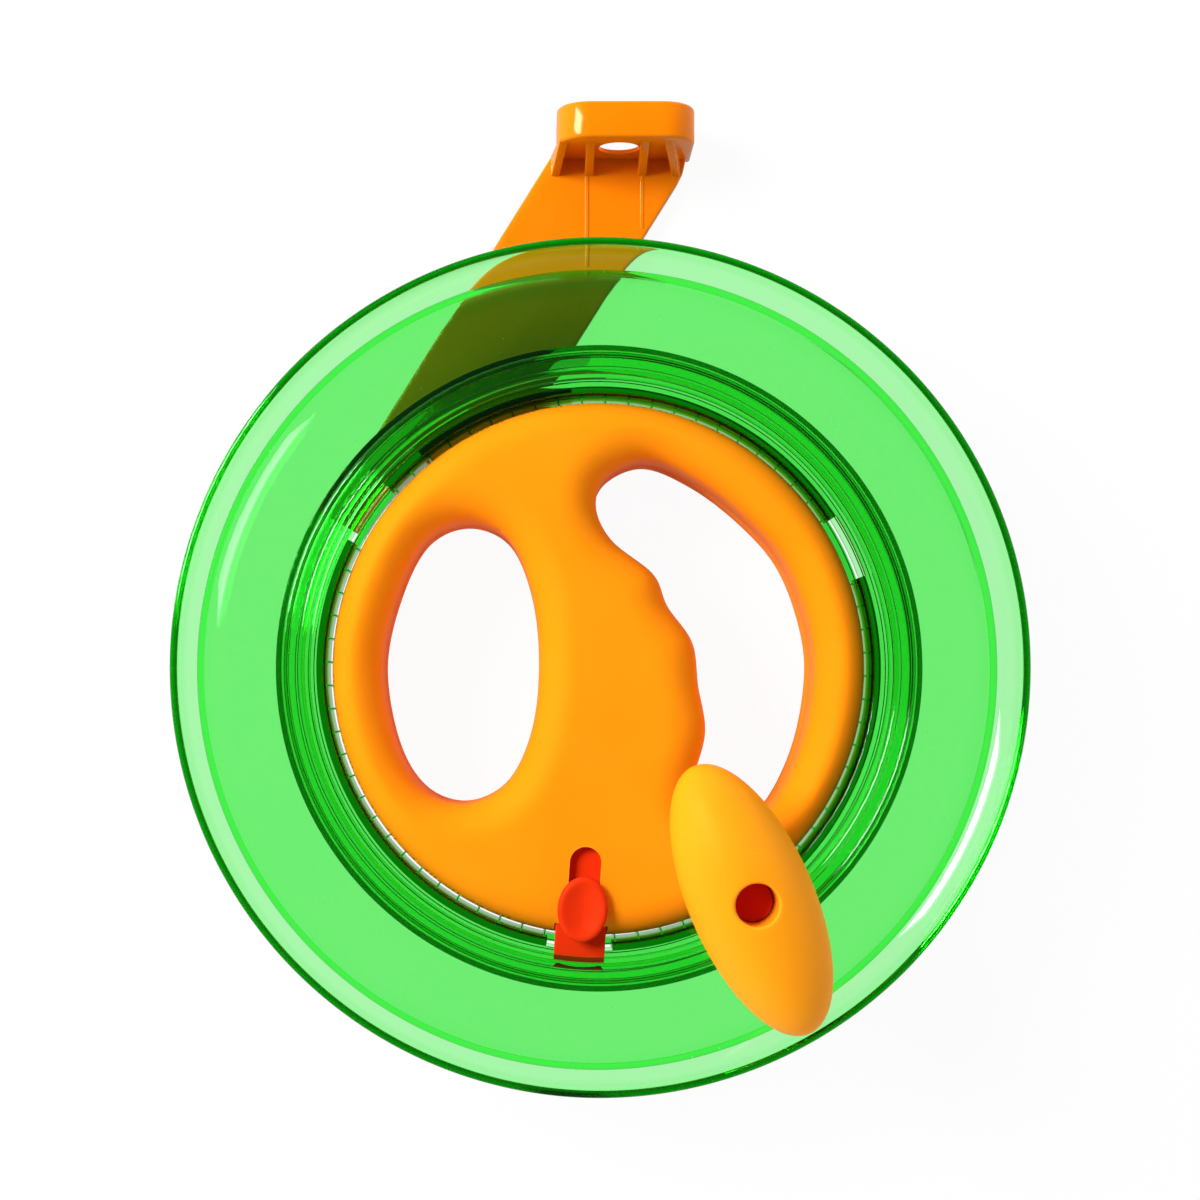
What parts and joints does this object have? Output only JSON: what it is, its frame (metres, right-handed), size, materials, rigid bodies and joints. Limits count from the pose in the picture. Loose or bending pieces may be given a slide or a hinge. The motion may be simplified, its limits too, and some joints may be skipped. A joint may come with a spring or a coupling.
{
  "type": "handline reel",
  "caption": "Hand-held line reel: clear flanged spool that turns round an orange grip wheel with hand holes, crank knob, sliding lock and line-guide arm.",
  "frame": {"origin": "on the spool's axis, on the flat rear face of the grip bar, which is the plane the reel rests on", "axes": "+Z along the spool's axis to the front, +Y towards the tray of the guide arm, +X to the right seen from the front"},
  "size_m": [0.22, 0.2607, 0.0775],
  "materials": {
    "orange_plastic": "satin moulded plastic",
    "red_plastic": "satin moulded plastic",
    "clear_green": "clear tinted plastic, polished",
    "steel": "zinc plated"
  },
  "bodies": {
    "grip": {"grip_front": "orange_plastic", "grip_rear": "orange_plastic", "grip_screws": "steel", "guide_arm": "orange_plastic", "arm_screws": "steel", "lock_cover": "orange_plastic", "cover_screws": "steel"},
    "spool": {"hub": "clear_green", "front_flange": "clear_green", "rear_flange": "clear_green", "knob_axle": "red_plastic", "knob_screw": "steel"},
    "knob": {"knob": "orange_plastic"},
    "lock": {"lock_slide": "red_plastic", "lock_button": "red_plastic"}
  },
  "joints": [
    {"name": "spool_spin", "type": "hinge", "parent": "grip", "child": "spool", "pos_m": [0, 0, 0.023], "axis": [0, 0, 1], "continuous": true},
    {"name": "knob_spin", "type": "hinge", "parent": "spool", "child": "knob", "pos_m": [0.0368, -0.05777, 0.0625], "axis": [0, 0, 1], "continuous": true},
    {"name": "lock_throw", "type": "slide", "parent": "grip", "child": "lock", "axis": [0.0698, 0.9976, 0], "range_m": [0, 0.012]}
  ]
}
